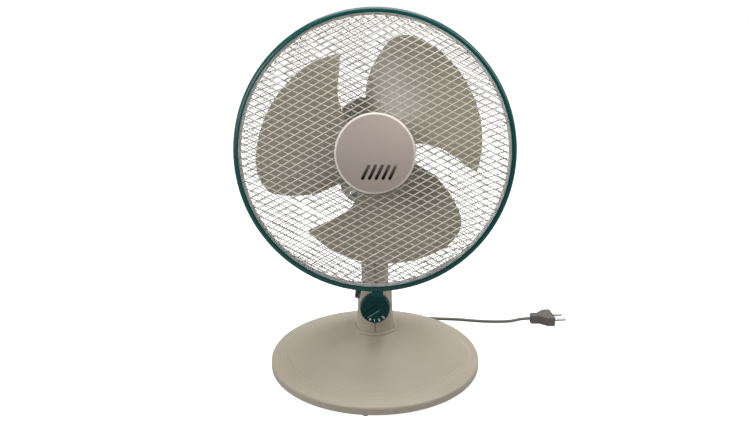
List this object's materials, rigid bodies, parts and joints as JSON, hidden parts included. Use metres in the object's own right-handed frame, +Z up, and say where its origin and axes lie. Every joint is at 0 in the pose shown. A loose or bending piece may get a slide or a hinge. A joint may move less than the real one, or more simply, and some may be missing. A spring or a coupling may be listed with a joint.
{
  "type": "desk fan",
  "caption": "Desk fan with a round domed base, tilting and swinging head, three-blade wheel in a diamond wire-mesh guard, rotary speed dial and mains cord.",
  "frame": {"origin": "on the table under the middle of the round base", "axes": "+Z up, -Y to the front where the blades blow, +X to the right seen from the front"},
  "size_m": [0.4789, 0.4288, 0.4932],
  "materials": {
    "stone_plastic": "satin moulded plastic, warm grey-beige",
    "blade_plastic": "satin moulded plastic, olive-beige",
    "teal_plastic": "semi-gloss moulded plastic, dark teal",
    "dial_plastic": "satin moulded plastic, dark teal",
    "dark_plastic": "matte moulded plastic, dark grey-green",
    "mesh_paint": "cream-white powder coat",
    "steel": "bright steel",
    "chrome_screws": "chrome plate",
    "cast_metal": "die-cast, unpainted",
    "plate_steel": "black-grey paint",
    "lamination": "stacked sheet steel",
    "copper_wire": "varnished copper winding",
    "bronze": "sintered bronze",
    "nylon": "natural nylon",
    "rubber": "soft rubber",
    "cord_jacket": "grey flexible jacket",
    "iron": "cast weight"
  },
  "bodies": {
    "stand": {"base_cover": "stone_plastic", "base_plate": "plate_steel", "base_weight": "iron", "base_feet": "rubber", "base_screws": "steel", "neck_left": "stone_plastic", "neck_right": "stone_plastic", "neck_screws": "steel", "switch_body": "dark_plastic", "tilt_bolt": "steel", "tilt_nut": "steel", "strain_relief": "cord_jacket", "mains_cord": "cord_jacket", "cord_hank": "cord_jacket", "plug_body": "cord_jacket", "plug_pins": "steel"},
    "speed_dial": {"speed_knob": "dial_plastic", "switch_shaft": "steel"},
    "knuckle": {"tilt_knuckle": "cast_metal", "swivel_pin": "steel", "swivel_clip": "steel", "thrust_washer": "nylon"},
    "link": {"crank_link": "steel"},
    "head": {"motor_bracket": "cast_metal", "front_bell": "cast_metal", "rear_bell": "cast_metal", "stator_core": "lamination", "stator_windings": "copper_wire", "shaft_bushes": "bronze", "motor_bolts": "steel", "gear_case": "nylon", "gear_lid": "nylon", "gear_screws": "steel", "rear_cover": "stone_plastic", "cover_screw": "steel", "back_plate": "dark_plastic", "guard_plate": "dark_plastic", "plate_screws": "chrome_screws", "guard_nut": "dark_plastic", "rear_wires_outer": "mesh_paint", "rear_wires_inner": "mesh_paint", "front_wires_outer": "mesh_paint", "front_wires_inner": "mesh_paint", "guard_hoops": "mesh_paint", "guard_ring": "teal_plastic", "ring_screw": "chrome_screws", "front_cap": "stone_plastic", "cap_backing": "dark_plastic"},
    "wheel": {"worm_wheel": "nylon", "gear_spindle": "nylon"},
    "crank": {"crank_gear": "nylon", "crank_disc": "nylon"},
    "swing_button": {"swing_knob": "teal_plastic"},
    "rotor": {"rotor_core": "lamination", "motor_shaft": "steel", "drive_worm": "nylon", "drive_pin": "steel", "fan_blades": "blade_plastic", "blade_nut": "blade_plastic"}
  },
  "joints": [
    {"name": "tilt", "type": "hinge", "parent": "stand", "child": "knuckle", "pos_m": [0, 0, 0.225], "axis": [1, 0, 0], "range_deg": [-12, 16]},
    {"name": "oscillate", "type": "hinge", "parent": "knuckle", "child": "head", "pos_m": [0, 0, 0.225], "axis": [0, 0.1736, 0.9848], "range_deg": [-38, 38]},
    {"name": "link_swing", "type": "hinge", "parent": "knuckle", "child": "link", "pos_m": [-0.018, 0.00695, 0.26439], "axis": [0, 0.1736, 0.9848], "range_deg": [-38, 38]},
    {"name": "fan_spin", "type": "hinge", "parent": "head", "child": "rotor", "pos_m": [0, 0.01459, 0.30772], "axis": [0, -0.9848, 0.1736], "continuous": true},
    {"name": "wheel_spin", "type": "hinge", "parent": "head", "child": "wheel", "pos_m": [0.018, 0.06589, 0.29868], "axis": [0, 0.1736, 0.9848], "continuous": true},
    {"name": "crank_spin", "type": "hinge", "parent": "head", "child": "crank", "pos_m": [0, 0.06173, 0.27504], "axis": [0, 0.1736, 0.9848], "continuous": true},
    {"name": "swing_pull", "type": "slide", "parent": "head", "child": "swing_button", "axis": [0, 0.1736, 0.9848], "range_m": [0, 0.007]},
    {"name": "speed_turn", "type": "hinge", "parent": "stand", "child": "speed_dial", "pos_m": [0, -0.0321, 0.0992], "axis": [0, -1, 0], "range_deg": [-48, 24]}
  ],
  "couplings": [
    {"joint": "link_swing", "follows": "oscillate", "ratio": 1},
    {"joint": "wheel_spin", "follows": "fan_spin", "ratio": -0.027778},
    {"joint": "crank_spin", "follows": "fan_spin", "ratio": 0.0092593}
  ]
}
